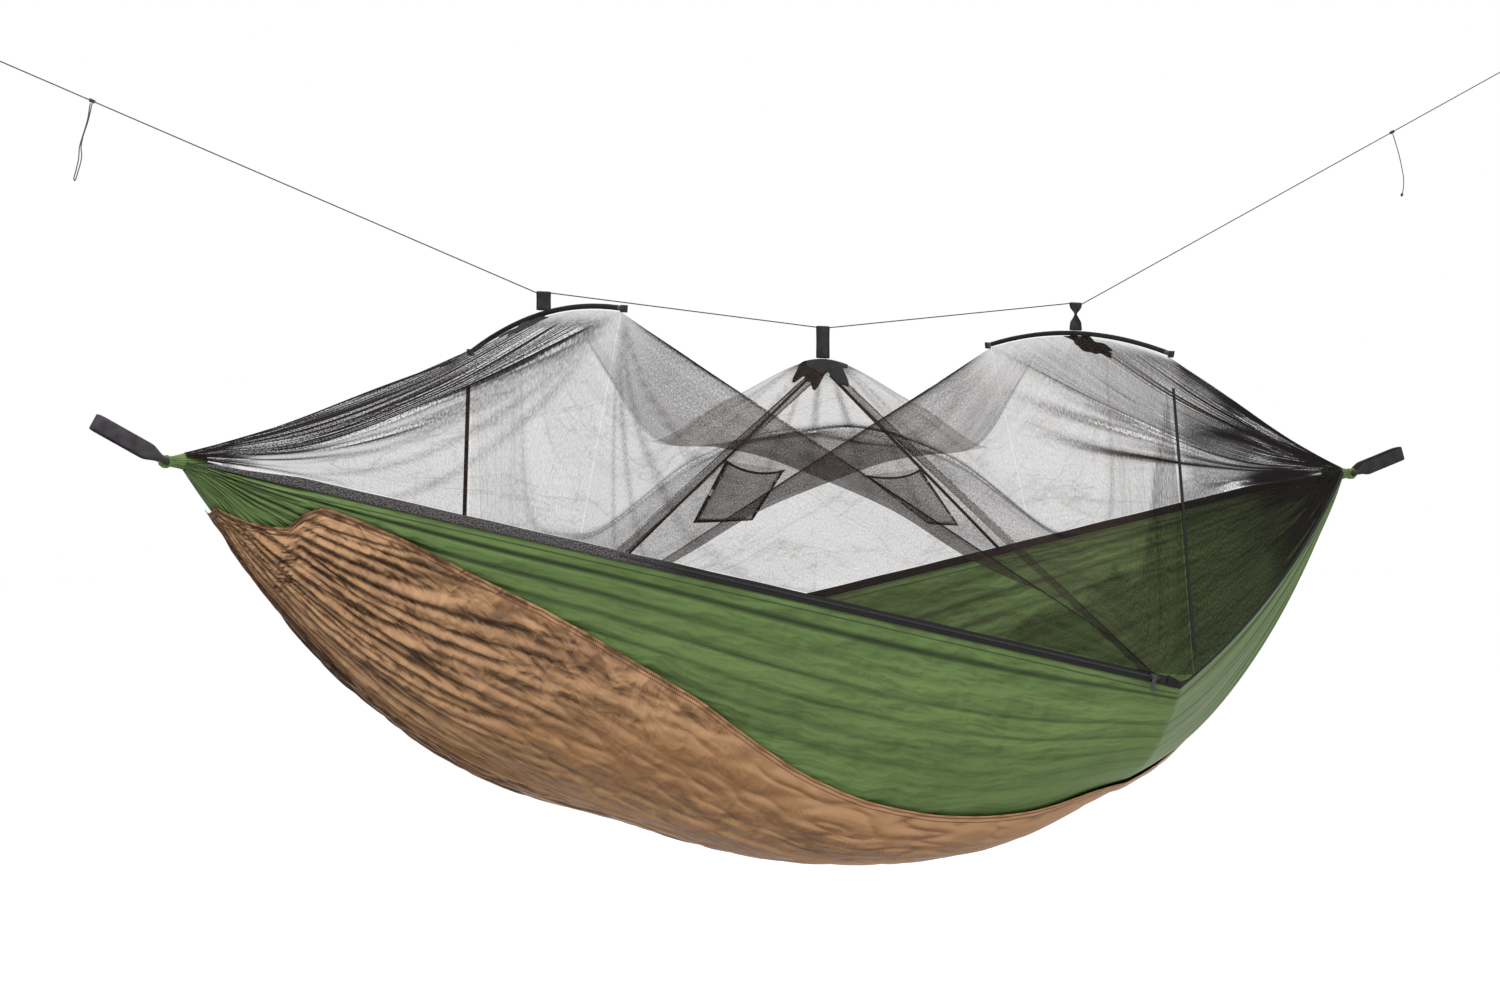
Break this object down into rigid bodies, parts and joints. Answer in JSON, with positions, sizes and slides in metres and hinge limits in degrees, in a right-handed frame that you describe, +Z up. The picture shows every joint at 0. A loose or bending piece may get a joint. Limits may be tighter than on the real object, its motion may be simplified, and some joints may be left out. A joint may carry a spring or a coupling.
{
  "type": "hammock tent",
  "caption": "Gathered-end camping hammock with a zipped bug net spread by two bent rods under a ridge line, an under-layer, mesh pockets and webbing loops to hang it from",
  "frame": {"origin": "the middle of the flat bearing face inside the far bend of the left webbing loop, where the left suspension pulls", "axes": "+X runs from the left gather to the right one, +Y to the far side, away from the zipped edge, +Z is up"},
  "size_m": [3.0758, 0.7584, 1.5365],
  "materials": {
    "sheet": "matt green nylon",
    "layer": "matt light brown nylon, crumpled",
    "netting": "fine open net, nearly black where it is folded",
    "webbing": "ribbed woven webbing",
    "trim": "matt black tape",
    "rod": "smooth fibre rod",
    "cord": "fine braided cord",
    "zip_teeth": "grey coil zip",
    "zip_metal": "dark painted metal"
  },
  "bodies": {
    "hammock": {"hammock_body": "sheet", "left_gather": "sheet", "right_gather": "sheet", "under_layer": "layer", "net_left": "netting", "net_middle": "netting", "net_right": "netting", "left_pocket": "netting", "right_pocket": "netting", "left_hanger": "webbing", "middle_hanger": "webbing", "right_hanger": "webbing", "near_left_tape": "webbing", "near_right_tape": "webbing", "far_left_tape": "webbing", "far_right_tape": "webbing", "left_rod_near_tab": "webbing", "left_rod_far_tab": "webbing", "right_rod_near_tab": "webbing", "right_rod_far_tab": "webbing", "near_hem_band": "trim", "far_hem_band": "trim", "near_right_seam_tape": "trim", "far_left_seam_tape": "trim", "left_peak_patch": "trim", "middle_peak_patch": "trim", "right_peak_patch": "trim", "left_pocket_trim": "trim", "right_pocket_trim": "trim", "left_rod_sleeve": "trim", "right_rod_sleeve": "trim", "left_rod_near_cap": "trim", "left_rod_far_cap": "trim", "right_rod_near_cap": "trim", "right_rod_far_cap": "trim", "left_rod": "rod", "right_rod": "rod", "ridge_line_outer_left": "cord", "ridge_line_inner_left": "cord", "ridge_line_inner_right": "cord", "ridge_line_outer_right": "cord", "zip_chain": "zip_teeth"},
    "left_webbing": {"left_loop": "webbing"},
    "right_webbing": {"right_loop": "webbing"},
    "left_knot": {"left_hitch": "cord", "left_hitch_loop": "cord"},
    "right_knot": {"right_hitch": "cord", "right_hitch_tail": "cord"},
    "slider": {"zip_slider": "zip_metal"},
    "pull": {"zip_pull": "zip_metal"}
  },
  "joints": [
    {"name": "left_loop_swing", "type": "hinge", "parent": "hammock", "child": "left_webbing", "pos_m": [0.11214, 0, -0.06089], "axis": [0, 1, 0], "range_deg": [-58.5, 31.5]},
    {"name": "right_loop_swing", "type": "hinge", "parent": "hammock", "child": "right_webbing", "pos_m": [2.47214, 0, -0.06089], "axis": [0, -1, 0], "range_deg": [-48.5, 41.5]},
    {"name": "left_hitch_slide", "type": "slide", "parent": "hammock", "child": "left_knot", "axis": [0.9405, 0, -0.3399], "range_m": [-0.1, 0.5]},
    {"name": "right_hitch_slide", "type": "slide", "parent": "hammock", "child": "right_knot", "axis": [-0.8949, 0, -0.4463], "range_m": [-0.1, 0.5]},
    {"name": "zip_slide", "type": "slide", "parent": "hammock", "child": "slider", "axis": [-0.9522, 0.211, 0.2211], "range_m": [0, 0.95]},
    {"name": "zip_pull_swing", "type": "hinge", "parent": "slider", "child": "pull", "pos_m": [1.73684, -0.37554, -0.42307], "axis": [-0.9522, 0.211, 0.2211], "range_deg": [0, 160]}
  ]
}
